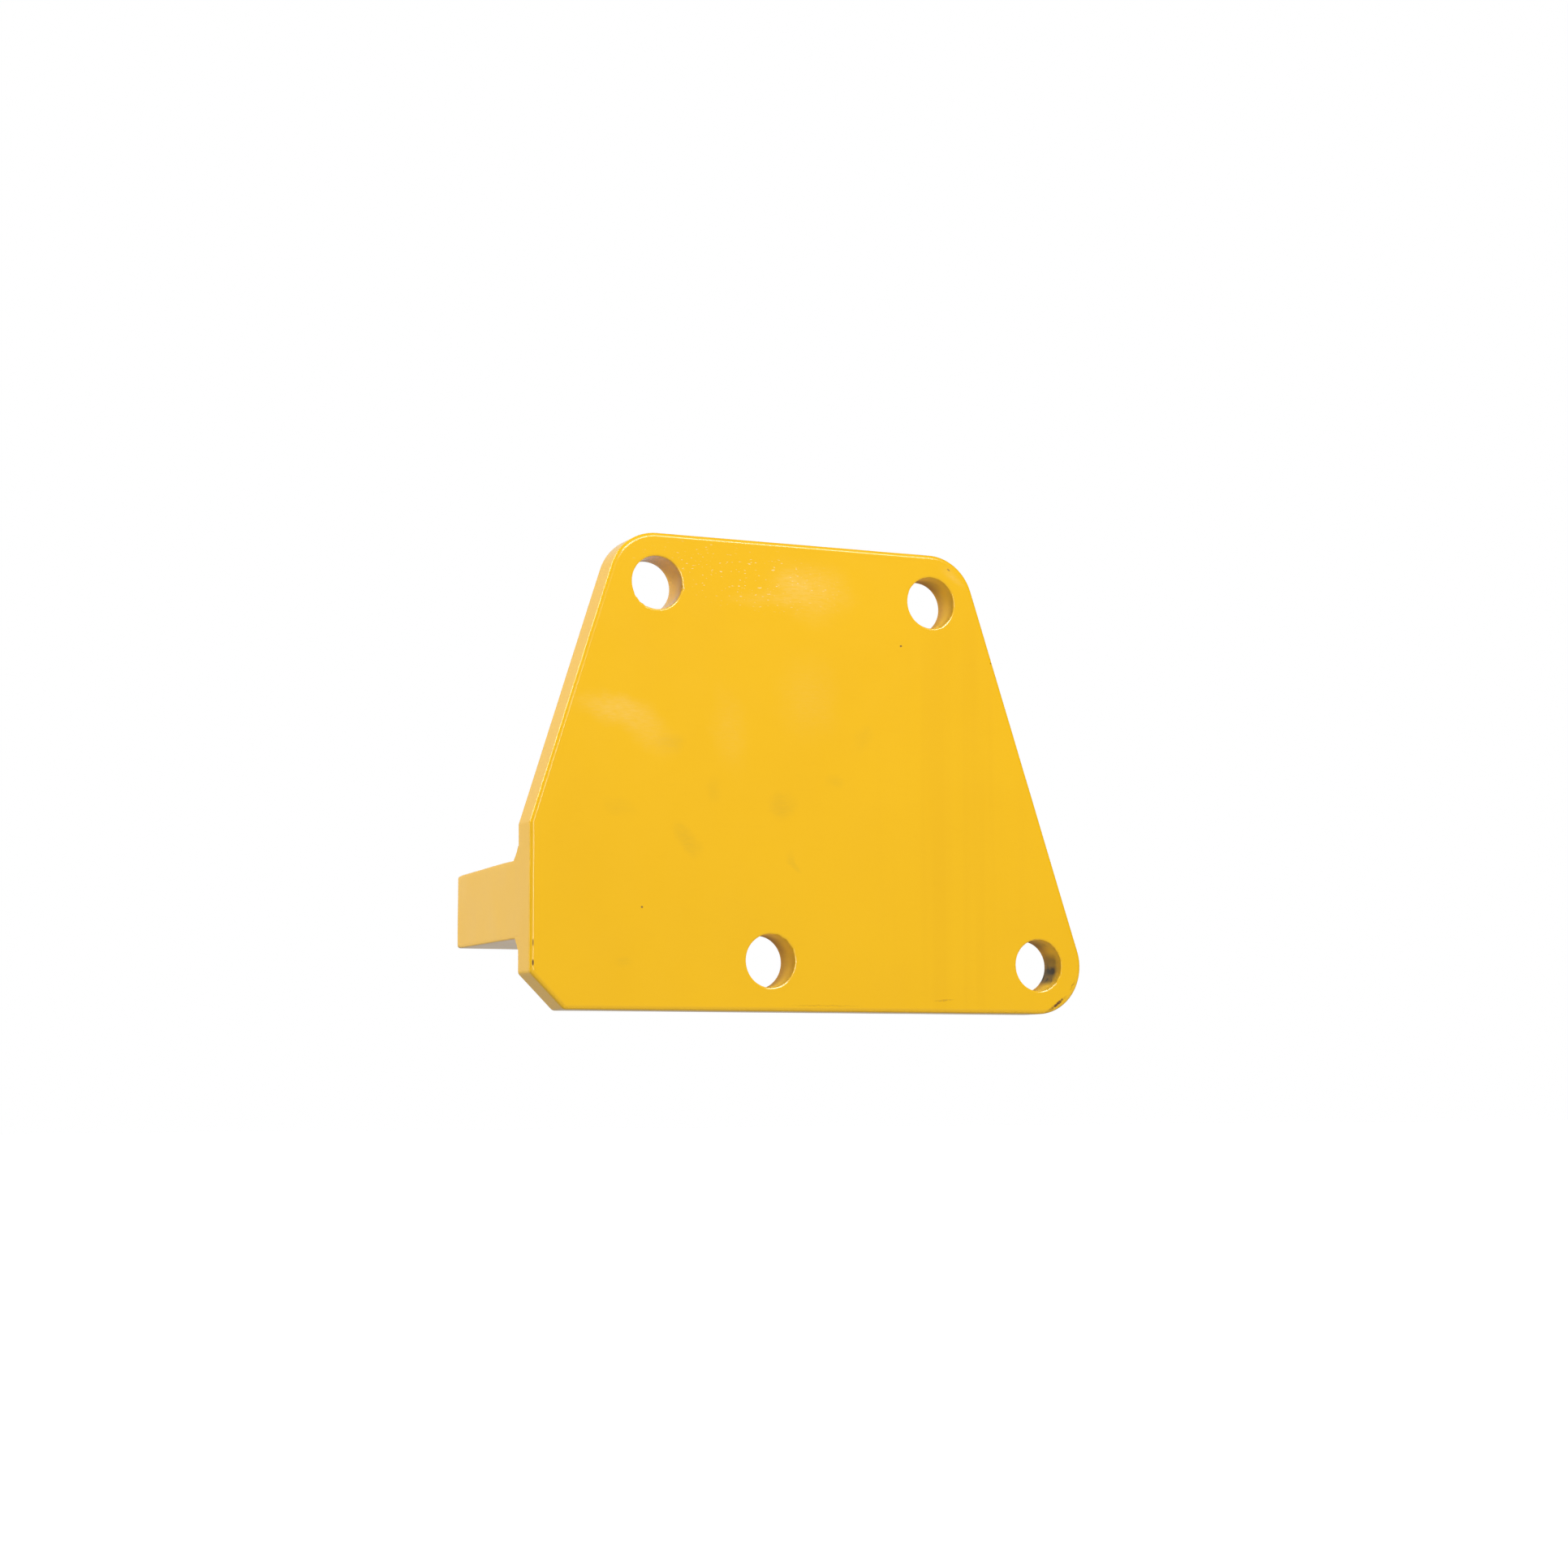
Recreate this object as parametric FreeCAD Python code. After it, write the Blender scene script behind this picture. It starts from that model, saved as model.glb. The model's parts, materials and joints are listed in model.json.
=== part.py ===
import FreeCAD, Part
import math
import os

# Bolt-on stop bracket: a thick steel plate with four through holes, and a flat bar
# welded at right angles to the back of the plate, flush with its left edge.
# Millimetres. +X right, +Y from the front face into the depth, +Z up.
# Origin: centre of the lower pair of bolt holes, on the plate's front face.

# ---- plate ----
plate_thickness = 12.0
edge_distance = 17.0  # hole centre to the nearest edge, and the corner radius
hole_diameter = 18.0  # clearance for an M16 bolt
pair_spacing = 103.0  # between the two holes of a pair, along X
pair_rise = 126.0  # from the lower pair up to the upper pair
pair_shift = 41.0  # how far the upper pair sits to the left of the lower pair
corner_cut = 12.0  # legs of the 45 degree cut at the lower left corner
straight_edge = 49.0  # upright stretch of the left edge, between the cut and the slope
front_edge_round = 1.2  # dressed outer edge of the front face
back_edge_round = 0.6  # edge of the back face
hole_round = 0.4  # broken hole mouths
flatness = 0.01  # two points this close to one plane lie in it

# ---- bar ----
bar_height = 26.0
bar_width = 40.0
bar_reach = 64.0  # from the plate's back face to the bar's end face
bar_edge_round = 0.5  # long edges
bar_end_round = 1.0  # edges of the end face
dressed_length = 48.0  # stretch of the bar's top that falls to its end
dressed_depth = 0.8  # how far the top has fallen at the end

# ---- welds ----
upper_leg_on_plate = 4.4
upper_leg_on_bar = 4.4
lower_leg_on_plate = 3.6
lower_leg_on_bar = 2.8
inner_leg = 5.0
bead_hollow = 0.1  # how far a bead's face dips, as a share of its throat
groove_depth = 5.0  # bevel along the bar's flush side, filled and ground level

# ---- worked out from the above ----
hole_radius = hole_diameter / 2
bottom_z = -edge_distance
side_angle = math.atan2(pair_shift, pair_rise)  # both sides lean in by this much
back_y = plate_thickness
bar_end_y = back_y + bar_reach
lower_left_hole = (-pair_spacing / 2, 0.0)
lower_right_hole = (pair_spacing / 2, 0.0)
upper_left_hole = (lower_left_hole[0] - pair_shift, pair_rise)
upper_right_hole = (lower_right_hole[0] - pair_shift, pair_rise)
holes = (lower_left_hole, lower_right_hole, upper_left_hole, upper_right_hole)
cut_top_z = bottom_z + corner_cut
knee_z = cut_top_z + straight_edge
# The left slope touches the upper left corner's arc and meets the upright edge at the knee.
slope_top_x = upper_left_hole[0] - edge_distance * math.cos(side_angle)
slope_top_z = upper_left_hole[1] + edge_distance * math.sin(side_angle)
left_x = slope_top_x - (slope_top_z - knee_z) * math.tan(side_angle)
# The bar is centred on the upright edge.
bar_low_z = cut_top_z + (straight_edge - bar_height) / 2
bar_high_z = bar_low_z + bar_height
bar_right_x = left_x + bar_width


def vec(x, y, z):
    return FreeCAD.Vector(x, y, z)


def corner_point(centre, angle):
    """Point on a rounded corner of the front face, angle measured from +X towards +Z."""
    x = centre[0] + edge_distance * math.cos(angle)
    z = centre[1] + edge_distance * math.sin(angle)
    return vec(x, 0, z)


def corner_arc(centre, start, end):
    """Arc concentric with a hole, from one tangent angle to the other."""
    through = [corner_point(centre, angle) for angle in (start, (start + end) / 2, end)]
    return Part.Arc(*through).toShape()


def plate_outline():
    """Outer edge of the plate on its front face."""
    down = -math.pi / 2
    up = math.pi / 2
    right_side = side_angle
    left_side = math.pi - side_angle
    arcs = [
        corner_arc(lower_right_hole, down, right_side),
        corner_arc(upper_right_hole, right_side, up),
        corner_arc(upper_left_hole, up, left_side),
    ]
    right_edge = Part.makeLine(arcs[0].lastVertex().Point, arcs[1].firstVertex().Point)
    top_edge = Part.makeLine(arcs[1].lastVertex().Point, arcs[2].firstVertex().Point)
    edges = [arcs[0], right_edge, arcs[1], top_edge, arcs[2]]
    left_and_bottom = [
        arcs[2].lastVertex().Point,
        vec(left_x, 0, knee_z),
        vec(left_x, 0, cut_top_z),
        vec(left_x + corner_cut, 0, bottom_z),
        arcs[0].firstVertex().Point,
    ]
    for start, end in zip(left_and_bottom[:-1], left_and_bottom[1:]):
        edges.append(Part.makeLine(start, end))
    return Part.Wire(edges)


def face_edges(shape, plane_y):
    """Edges that start and end in the plane Y = plane_y."""
    found = []
    for edge in shape.Edges:
        ys = [vertex.Point.y for vertex in edge.Vertexes]
        if max(abs(y - plane_y) for y in ys) < flatness:
            found.append(edge)
    return found


def edges_along_y(shape):
    """Straight edges that run from the front of the shape to its back."""
    return [edge for edge in shape.Edges if abs(edge.Vertexes[0].Point.y - edge.Vertexes[-1].Point.y) > flatness]


def mounting_plate():
    """Plate with concentric corners, its outer edges and hole mouths broken."""
    blank = Part.Face(plate_outline()).extrude(vec(0, plate_thickness, 0))
    blank = blank.makeFillet(front_edge_round, face_edges(blank, 0.0))
    blank = blank.makeFillet(back_edge_round, face_edges(blank, back_y))
    for x, z in holes:
        blank = blank.cut(Part.makeCylinder(hole_radius, plate_thickness, vec(x, 0, z), vec(0, 1, 0)))
    rims = face_edges(blank, 0.0) + face_edges(blank, back_y)
    mouths = [edge for edge in rims if is_hole_mouth(edge)]
    return blank.makeFillet(hole_round, mouths)


def is_hole_mouth(edge):
    return isinstance(edge.Curve, Part.Circle) and abs(edge.Curve.Radius - hole_radius) < hole_round / 2


def triangle_prism(corners, push):
    return Part.Face(Part.makePolygon(corners + corners[:1])).extrude(push)


def bevel_wedge(root_y):
    """Wedge along the bar's flush side, between its bevel and the plane Y = root_y."""
    corners = [
        vec(left_x, root_y, bar_low_z),
        vec(left_x + back_y + groove_depth - root_y, root_y, bar_low_z),
        vec(left_x, back_y + groove_depth, bar_low_z),
    ]
    return triangle_prism(corners, vec(0, 0, bar_height))


def dressed_top():
    """What was ground off the bar's top, deepest at the end face."""
    corners = [
        vec(left_x, bar_end_y - dressed_length, bar_high_z),
        vec(left_x, bar_end_y, bar_high_z),
        vec(left_x, bar_end_y, bar_high_z - dressed_depth),
    ]
    return triangle_prism(corners, vec(bar_width, 0, 0))


def stop_bar():
    """Flat bar from the plate's back face, its flush side bevelled for the groove weld."""
    bar = Part.makeBox(bar_width, bar_reach, bar_height, vec(left_x, back_y, bar_low_z))
    bar = bar.cut(dressed_top())
    bar = bar.makeFillet(bar_edge_round, edges_along_y(bar))
    bar = bar.makeFillet(bar_end_round, face_edges(bar, bar_end_y))
    return bar.cut(bevel_wedge(back_y))


def bead_section(corner, on_plate, on_bar):
    """Face of a bead in the inside corner of plate and bar, reaching into their broken edges."""
    plate_toe = corner + on_plate
    bar_toe = corner + on_bar
    middle = (plate_toe + bar_toe) * 0.5
    dip = middle + (corner - middle) * bead_hollow
    into_plate = vec(0, -back_edge_round, 0)
    into_bar = on_plate * (-bar_edge_round / on_plate.Length)
    skin = Part.Arc(plate_toe, dip, bar_toe).toShape()
    root = [bar_toe + into_bar, corner + into_bar + into_plate, plate_toe + into_plate]
    rest = Part.makePolygon([bar_toe] + root + [plate_toe])
    return Part.Face(Part.Wire([skin] + rest.Edges))


def outer_groove_weld():
    """Bead that fills the bevel, ground level with the plate's edge and the bar's side."""
    return bevel_wedge(back_y - back_edge_round).cut(mounting_plate())


def fillet_weld(corner, on_plate, on_bar, along, neighbours):
    """Bead laid along the corner, which gives way to the pieces it is welded against."""
    bead = bead_section(corner, on_plate, on_bar).extrude(along)
    for neighbour in [mounting_plate(), stop_bar()] + neighbours:
        bead = bead.cut(neighbour)
    return bead


def upper_fillet_weld():
    corner = vec(left_x, back_y, bar_high_z)
    legs = (vec(0, 0, upper_leg_on_plate), vec(0, upper_leg_on_bar, 0))
    return fillet_weld(corner, *legs, vec(bar_width, 0, 0), [outer_groove_weld()])


def lower_fillet_weld():
    corner = vec(left_x, back_y, bar_low_z)
    legs = (vec(0, 0, -lower_leg_on_plate), vec(0, lower_leg_on_bar, 0))
    return fillet_weld(corner, *legs, vec(bar_width, 0, 0), [outer_groove_weld()])


def inner_fillet_weld():
    corner = vec(bar_right_x, back_y, bar_low_z)
    legs = (vec(inner_leg, 0, 0), vec(0, inner_leg, 0))
    return fillet_weld(corner, *legs, vec(0, 0, bar_height), [upper_fillet_weld(), lower_fillet_weld()])


def main():
    pieces = (
        mounting_plate,
        stop_bar,
        outer_groove_weld,
        upper_fillet_weld,
        lower_fillet_weld,
        inner_fillet_weld,
    )
    os.makedirs("parts", exist_ok=True)
    for piece in pieces:
        shape = piece()
        shape.exportStep(os.path.join("parts", piece.__name__ + ".step"))
        print(piece.__name__, "valid" if shape.isValid() else "NOT VALID", round(shape.Volume), "mm3")


main()
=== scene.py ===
import json
import math

import bmesh
import bpy
from bpy.props import FloatProperty, FloatVectorProperty, PointerProperty
from bpy.types import Operator, Panel, PropertyGroup
from mathutils import Matrix, Vector, noise


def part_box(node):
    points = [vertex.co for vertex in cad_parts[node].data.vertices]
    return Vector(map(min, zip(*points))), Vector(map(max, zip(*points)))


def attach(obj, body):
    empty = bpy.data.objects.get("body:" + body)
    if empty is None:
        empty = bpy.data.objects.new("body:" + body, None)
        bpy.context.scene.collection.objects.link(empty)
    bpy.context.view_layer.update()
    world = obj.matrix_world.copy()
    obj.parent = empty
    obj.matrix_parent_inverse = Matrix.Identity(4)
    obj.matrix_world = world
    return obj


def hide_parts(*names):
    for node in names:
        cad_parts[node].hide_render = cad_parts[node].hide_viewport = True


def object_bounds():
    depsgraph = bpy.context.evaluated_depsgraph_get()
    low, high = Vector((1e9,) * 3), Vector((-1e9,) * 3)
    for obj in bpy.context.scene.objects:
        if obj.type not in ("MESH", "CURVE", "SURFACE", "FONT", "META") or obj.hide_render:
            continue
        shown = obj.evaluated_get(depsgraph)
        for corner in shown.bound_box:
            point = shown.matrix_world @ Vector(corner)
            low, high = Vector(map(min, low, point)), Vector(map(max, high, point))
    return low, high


bl_info = {
    "name": "Bolt-on stop bracket",
    "version": (1, 0, 0),
    "blender": (4, 5, 0),
    "location": "3D View > Sidebar > Bracket",
    "description": "A painted bolt-on plate with a welded stop bar, in a soft white studio",
    "category": "Object",
}

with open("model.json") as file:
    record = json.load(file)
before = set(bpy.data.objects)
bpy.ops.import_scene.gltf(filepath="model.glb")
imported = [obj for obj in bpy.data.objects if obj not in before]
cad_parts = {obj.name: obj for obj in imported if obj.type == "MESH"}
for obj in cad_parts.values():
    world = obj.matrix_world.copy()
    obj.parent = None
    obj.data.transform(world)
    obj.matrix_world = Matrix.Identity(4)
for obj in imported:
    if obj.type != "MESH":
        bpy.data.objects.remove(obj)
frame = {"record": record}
cad_low, cad_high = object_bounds()
plate_low, plate_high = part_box("mounting_plate")
bar_low, bar_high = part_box("stop_bar")

MM = 0.001
QUARTER_TURN = math.pi / 2

# Bolt holes, from the record's two bolt patterns: name, and centre as (x, z).
mounts = {mount["name"]: mount for mount in frame["record"]["mounts"]}


def bolt_pair(name):
    """Centres of a bolt pattern's left and right hole."""
    x, _, z = mounts[name]["pos_m"]
    reach = mounts[name]["dims"]["spacing_x_mm"] * MM / 2
    return Vector((x - reach, z)), Vector((x + reach, z))


lower_left, lower_right = bolt_pair("lower_bolt_pair")
upper_left, upper_right = bolt_pair("upper_bolt_pair")
hole_radius = mounts["lower_bolt_pair"]["dims"]["hole_r_mm"] * MM
edge_distance = lower_right.y - plate_low.z
side_lean = math.atan2(lower_left.x - upper_left.x, upper_left.y - lower_left.y)
left_x = plate_low.x
back_y = plate_high.y


# ---------------------------------------------------------------- settings


def length(label, description, default):
    return FloatProperty(name=label, description=description, default=default, unit="LENGTH", min=0.0)


def share(label, description, default):
    return FloatProperty(name=label, description=description, default=default, min=0.0, max=1.0)


def colour(label, description, default):
    return FloatVectorProperty(
        name=label, description=description, default=default, subtype="COLOR", min=0.0, max=1.0
    )


def turn(label, description, default):
    return FloatProperty(
        name=label, description=description, default=math.radians(default), subtype="ANGLE"
    )


def strength(label, description, default):
    return FloatProperty(name=label, description=description, default=default, min=0.0)


def watts(label, description, default):
    return FloatProperty(name=label, description=description, default=default, min=0.0, unit="POWER")


class PlateSizes(PropertyGroup):
    corner_cut: length("Corner cut", "Legs of the cut at the lower left corner", 12 * MM)
    straight_edge: length("Straight edge", "Upright stretch of the left edge", 49 * MM)
    front_round: length("Front rounding", "Radius dressed onto the front face's outer edge", 1.0 * MM)
    facet: length("Facet", "Width of the slightly tilted flat inside the front rounding", 0.50 * MM)
    facet_tilt: turn("Facet tilt", "How far that flat tilts out of the front face", 19)
    hole_facet: length("Hole facet", "Width of the same flat round the hole mouths", 0.34 * MM)
    back_round: length("Back rounding", "Radius of the back face's outer edge", 0.6 * MM)
    hole_round: length("Hole rounding", "Radius of the broken hole mouths", 0.25 * MM)
    eased_corner: length("Eased corner", "Radius left at the three sheared corners", 1.9 * MM)
    edge_step: length("Edge step", "Distance between vertices along the outline", 1.1 * MM)
    flank_wave: length("Flank wave", "How uneven the ground left side is", 0.10 * MM)
    sheared_wave: length("Sheared wave", "How uneven the other sides are", 0.03 * MM)
    bore_wave: length("Bore wave", "How uneven the walls of the bolt holes are", 0.05 * MM)
    flaw_depth: length("Flaw depth", "How far into a hole the flaws of its mouth reach", 1.2 * MM)


class BarSizes(PropertyGroup):
    edge_round: length("Edge rounding", "Radius of the bar's long edges", 0.5 * MM)
    end_round: length("End rounding", "Radius round the bar's end face", 1.0 * MM)
    top_fall: length("Top fall", "How far the ground top has dropped at the end", 0.8 * MM)
    fall_length: length("Fall length", "Stretch over which the top falls", 48 * MM)
    ground_width: length("Ground width", "Strip along the flush side that the grinder left wavy", 3 * MM)
    rolled_wave: length("Rolled wave", "How uneven the bar's other sides are", 0.04 * MM)
    end_blend: length("End blend", "Stretch over which the long edges grow as round as the end", 4 * MM)


class BeadSizes(PropertyGroup):
    groove: length("Groove", "Bevel on the bar's flush side, filled and ground", 5 * MM)
    upper_on_plate: length("Upper leg on plate", "Upper bead's height on the plate", 4.4 * MM)
    upper_on_bar: length("Upper leg on bar", "Upper bead's reach along the bar", 4.4 * MM)
    lower_on_plate: length("Lower leg on plate", "Lower bead's height on the plate", 3.6 * MM)
    lower_on_bar: length("Lower leg on bar", "Lower bead's reach along the bar", 2.8 * MM)
    inner_leg: length("Inner legs", "Both legs of the bead on the bar's hidden side", 5 * MM)
    hollow: share("Hollow", "How far a bead's face dips, as a share of its throat", 0.1)
    ripple_pitch: length("Ripple pitch", "Distance from one weld ripple to the next", 1.7 * MM)
    ripple_depth: length("Ripple depth", "Height of a weld ripple", 0.16 * MM)
    toe_wander: length("Toe wander", "How far a bead's toe wanders", 0.25 * MM)
    ground_end: length("Ground end", "Stretch ground smooth at a bead's left end", 2.5 * MM)


class PaintFinish(PropertyGroup):
    yellow: colour("Yellow", "Main paint colour", (0.90, 0.51, 0.010))
    deep_yellow: colour("Deep yellow", "Paint where it is thin or rubbed", (0.80, 0.42, 0.008))
    # Pale patches on the front face: painted reflection of the lights, over a rougher haze.
    pale_reflection_yellow: colour("Pale yellow", "Paint under a dusty haze", (0.95, 0.62, 0.15))
    # Colour of the painted glints along the top of the front face.
    glint_highlight: colour("Dust", "Overspray and dust caught in the paint", (1.0, 0.83, 0.52))
    rubbed: colour("Rubbed", "Paint dulled by handling", (0.60, 0.36, 0.025))
    soot: colour("Soot", "Grime in the bolt holes", (0.045, 0.033, 0.008))
    rust: colour("Rust", "Chips and scuffs through the paint", (0.15, 0.060, 0.007))
    # Bore mouths: the dry coat, painted lighter where light falls in.
    dry_lit_yellow: colour("Dry yellow", "The dry coat at the mouths of most bolt holes", (0.99, 0.63, 0.012))
    # Painted shade deep inside the bolt holes.
    bore_shade_yellow: colour("Thin yellow", "The thin coat deep inside the bolt holes", (0.46, 0.225, 0.003))
    roughness: share("Roughness", "Base roughness of the gloss paint", 0.19)
    bore_roughness: share("Bore roughness", "Roughness of the dry coat in the bolt holes", 0.65)
    peel_size: length("Peel size", "Width of one orange-peel bump", 1.6 * MM)
    peel_height: length("Peel height", "Height of the orange peel", 0.012 * MM)


class StudioSetup(PropertyGroup):
    camera_place: FloatVectorProperty(
        name="Camera place",
        description="Where the camera stands",
        default=(-0.44726, -0.87908, -0.04814),
        subtype="XYZ_LENGTH",
    )
    camera_turn: turn("Camera turn", "Camera's heading about the upright axis", -24.519)
    camera_tilt: turn("Camera tilt", "How far the camera looks up", 6.3836)
    camera_roll: turn("Camera roll", "Camera's roll about its own axis", -0.3016)
    lens: FloatProperty(name="Lens", description="Focal length in millimetres", default=65.867)
    floor_drop: length("Floor drop", "How far the floor lies below the plate", 0.30)
    behind: strength("Behind", "Brightness of the wall behind the object", 0.83)
    front: strength("Front", "Brightness of the wall behind the camera", 0.28)
    above: strength("Above", "Brightness of the ceiling", 0.03)
    below_behind: strength("Floor behind", "Brightness of the floor behind the object", 0.50)
    below_front: strength("Floor in front", "Brightness of the floor on the camera's side", 0.46)
    key_power: watts("Key", "Power of the large softbox above the camera", 31.5)
    strip_power: watts("Strip", "Power of the upright strip light beside the camera", 2.8)
    back_left_power: watts("Back left", "Power of the softbox low behind the left side", 3.2)
    back_top_power: watts("Back top", "Power of the softbox high behind the left side", 9.8)


SETTINGS = (
    ("bracket_plate", PlateSizes),
    ("bracket_bar", BarSizes),
    ("bracket_beads", BeadSizes),
    ("bracket_paint", PaintFinish),
    ("bracket_studio", StudioSetup),
)


# ---------------------------------------------------------------- shader nodes


class Signal:
    """One output socket; arithmetic on it adds Math nodes."""

    def __init__(self, graph, socket):
        self.graph = graph
        self.socket = socket

    def __add__(self, other):
        return self.graph.maths("ADD", self, other)

    __radd__ = __add__

    def __sub__(self, other):
        return self.graph.maths("SUBTRACT", self, other)

    def __rsub__(self, other):
        return self.graph.maths("SUBTRACT", other, self)

    def __mul__(self, other):
        return self.graph.maths("MULTIPLY", self, other)

    __rmul__ = __mul__


class Graph:
    """Adds nodes to one material or world."""

    def __init__(self, owner):
        owner.use_nodes = True
        self.tree = owner.node_tree
        self.tree.nodes.clear()

    def node(self, kind, settings=None, sockets=None, output=0):
        """Adds one node: its settings first, then the values or links of its sockets."""
        made = self.tree.nodes.new(kind)
        for name, value in (settings or {}).items():
            setattr(made, name, value)
        for name, value in (sockets or {}).items():
            if isinstance(value, Signal):
                self.tree.links.new(value.socket, made.inputs[name])
            else:
                made.inputs[name].default_value = value
        return Signal(self, made.outputs[output]) if made.outputs else None

    def maths(self, operation, first, second):
        return self.node("ShaderNodeMath", {"operation": operation}, {0: first, 1: second})

    def vectors(self, operation, first, second):
        return self.node("ShaderNodeVectorMath", {"operation": operation}, {0: first, 1: second})

    def blend(self, factor, first, second):
        """Colour between two colours."""
        settings = {"data_type": "RGBA", "clamp_factor": True}
        return self.node("ShaderNodeMix", settings, {0: factor, 6: first, 7: second}, 2)

    def remap(self, value, low, high, to_low=0.0, to_high=1.0):
        """Smooth step from one range to another."""
        sockets = {0: value, 1: low, 2: high, 3: to_low, 4: to_high}
        return self.node("ShaderNodeMapRange", {"interpolation_type": "SMOOTHSTEP"}, sockets)

    def grain(self, where, size, stretch=(1, 1, 1), detail=2.0, roughness=0.5):
        """Noise from 0 to 1 whose features are about one size, drawn out by the stretch."""
        scale = [1 / (size * factor) for factor in stretch]
        placed = self.vectors("MULTIPLY", where, scale)
        sockets = {"Vector": placed, "Scale": 1.0, "Detail": detail, "Roughness": roughness}
        return self.node("ShaderNodeTexNoise", {}, sockets)

    def spot(self, where, centre, reach, lean=0.0, soft=1.0):
        """1 at a spot's centre and 0 past its reach, with an edge as soft as asked."""
        sockets = {
            "Vector": where,
            "Location": centre,
            "Rotation": (0.0, math.radians(-lean), 0.0),
            "Scale": reach,
        }
        local = self.node("ShaderNodeMapping", {"vector_type": "TEXTURE"}, sockets)
        measured = self.node("ShaderNodeVectorMath", {"operation": "LENGTH"}, {0: local}, "Value")
        return self.remap(measured, 1.0 - soft, 1.0, 1.0, 0.0)

    def stray(self, where, size, amount):
        """The same place, pushed about by noise, so that a mark's edge is not a clean ellipse."""
        sockets = {"Vector": where, "Scale": 1 / size, "Detail": 2.0}
        push = self.node("ShaderNodeTexNoise", {}, sockets, "Color")
        centred = self.vectors("SUBTRACT", push, (0.5, 0.5, 0.5))
        scaled = self.node("ShaderNodeVectorMath", {"operation": "SCALE"}, {0: centred, "Scale": amount})
        return self.vectors("ADD", where, scaled)


# ---------------------------------------------------------------- paint

# Marks on the front face, in mm: centre x and z, half length and half height, then the lean in
# degrees and how strong it is.
# Pale patches: painted reflections of the lights, which are also a little rougher as a haze.
HAZES_AND_REFLECTIONS = (
    (-107.0, 82.5, 19.0, 7.0, -10, 0.45),
    (-95.0, 75.0, 14.0, 8.0, -35, 0.22),
    (-36.0, 127.0, 21.0, 14.0, -6, 0.38),
    (-42.0, 129.0, 9.0, 6.0, -6, 0.25),
    (-66.0, 77.0, 9.0, 20.0, 8, 0.13),
    (-37.0, 90.0, 16.0, 20.0, 0, 0.13),
    (-52.0, 123.0, 20.0, 4.0, 0, 0.20),
    (19.0, 136.0, 7.0, 2.2, -40, 0.38),
)
SMUDGES = (
    (-88.0, 72.0, 7.0, 5.0, 0, 0.22),
    (-47.0, 53.0, 6.5, 6.0, 20, 0.32),
    (-27.0, 61.0, 5.0, 4.0, 30, 0.20),
    (-72.0, 57.0, 4.0, 6.0, 0, 0.18),
    (-82.0, 40.0, 10.0, 4.0, -50, 0.34),
    (-43.0, 33.5, 5.0, 1.8, -60, 0.28),
    (-106.0, 50.0, 8.0, 4.0, -20, 0.15),
    (-104.0, -1.0, 4.5, 3.0, 0, 0.20),
    (-16.0, 77.0, 7.0, 4.0, 60, 0.15),
    (-60.0, 10.0, 40.0, 25.0, 0, 0.06),
)
SPECKS = (
    (-1.4, 110.0, 0.55, 0.45, 0, 0.90),
    (-98.0, 17.0, 0.50, 0.45, 0, 0.90),
    (-135.9, 4.6, 0.22, 1.5, 0, 0.80),
    (-135.9, -1.9, 0.36, 1.3, 0, 1.0),
    (17.6, 138.2, 0.9, 0.35, -35, 0.60),
    (34.0, 106.0, 0.4, 0.4, 0, 0.60),
)
SCUFFS = (
    (58.4, -13.6, 6.4, 0.75, 35, 0.75),
    (59.2, -13.1, 3.0, 0.70, 40, 1.0),
    (65.0, -6.8, 2.6, 0.45, 62, 0.45),
    (-32.0, -14.9, 19.0, 0.30, 0, 0.25),
    (14.0, -12.6, 5.0, 0.35, 4, 0.35),
)

# Grime on the bolt holes' walls, in the same terms.
BORE_DIRT = (
    (60.0, -4.0, 4.0, 4.8, 0, 1.25),
    (61.0, 1.0, 4.0, 5.0, 0, 0.95),
    (55.0, 8.5, 7.0, 3.5, 0, 0.40),
    (-44.0, 8.5, 5.0, 3.0, 0, 0.25),
    (15.0, 134.0, 6.0, 4.0, 0, 0.20),
)


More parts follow.
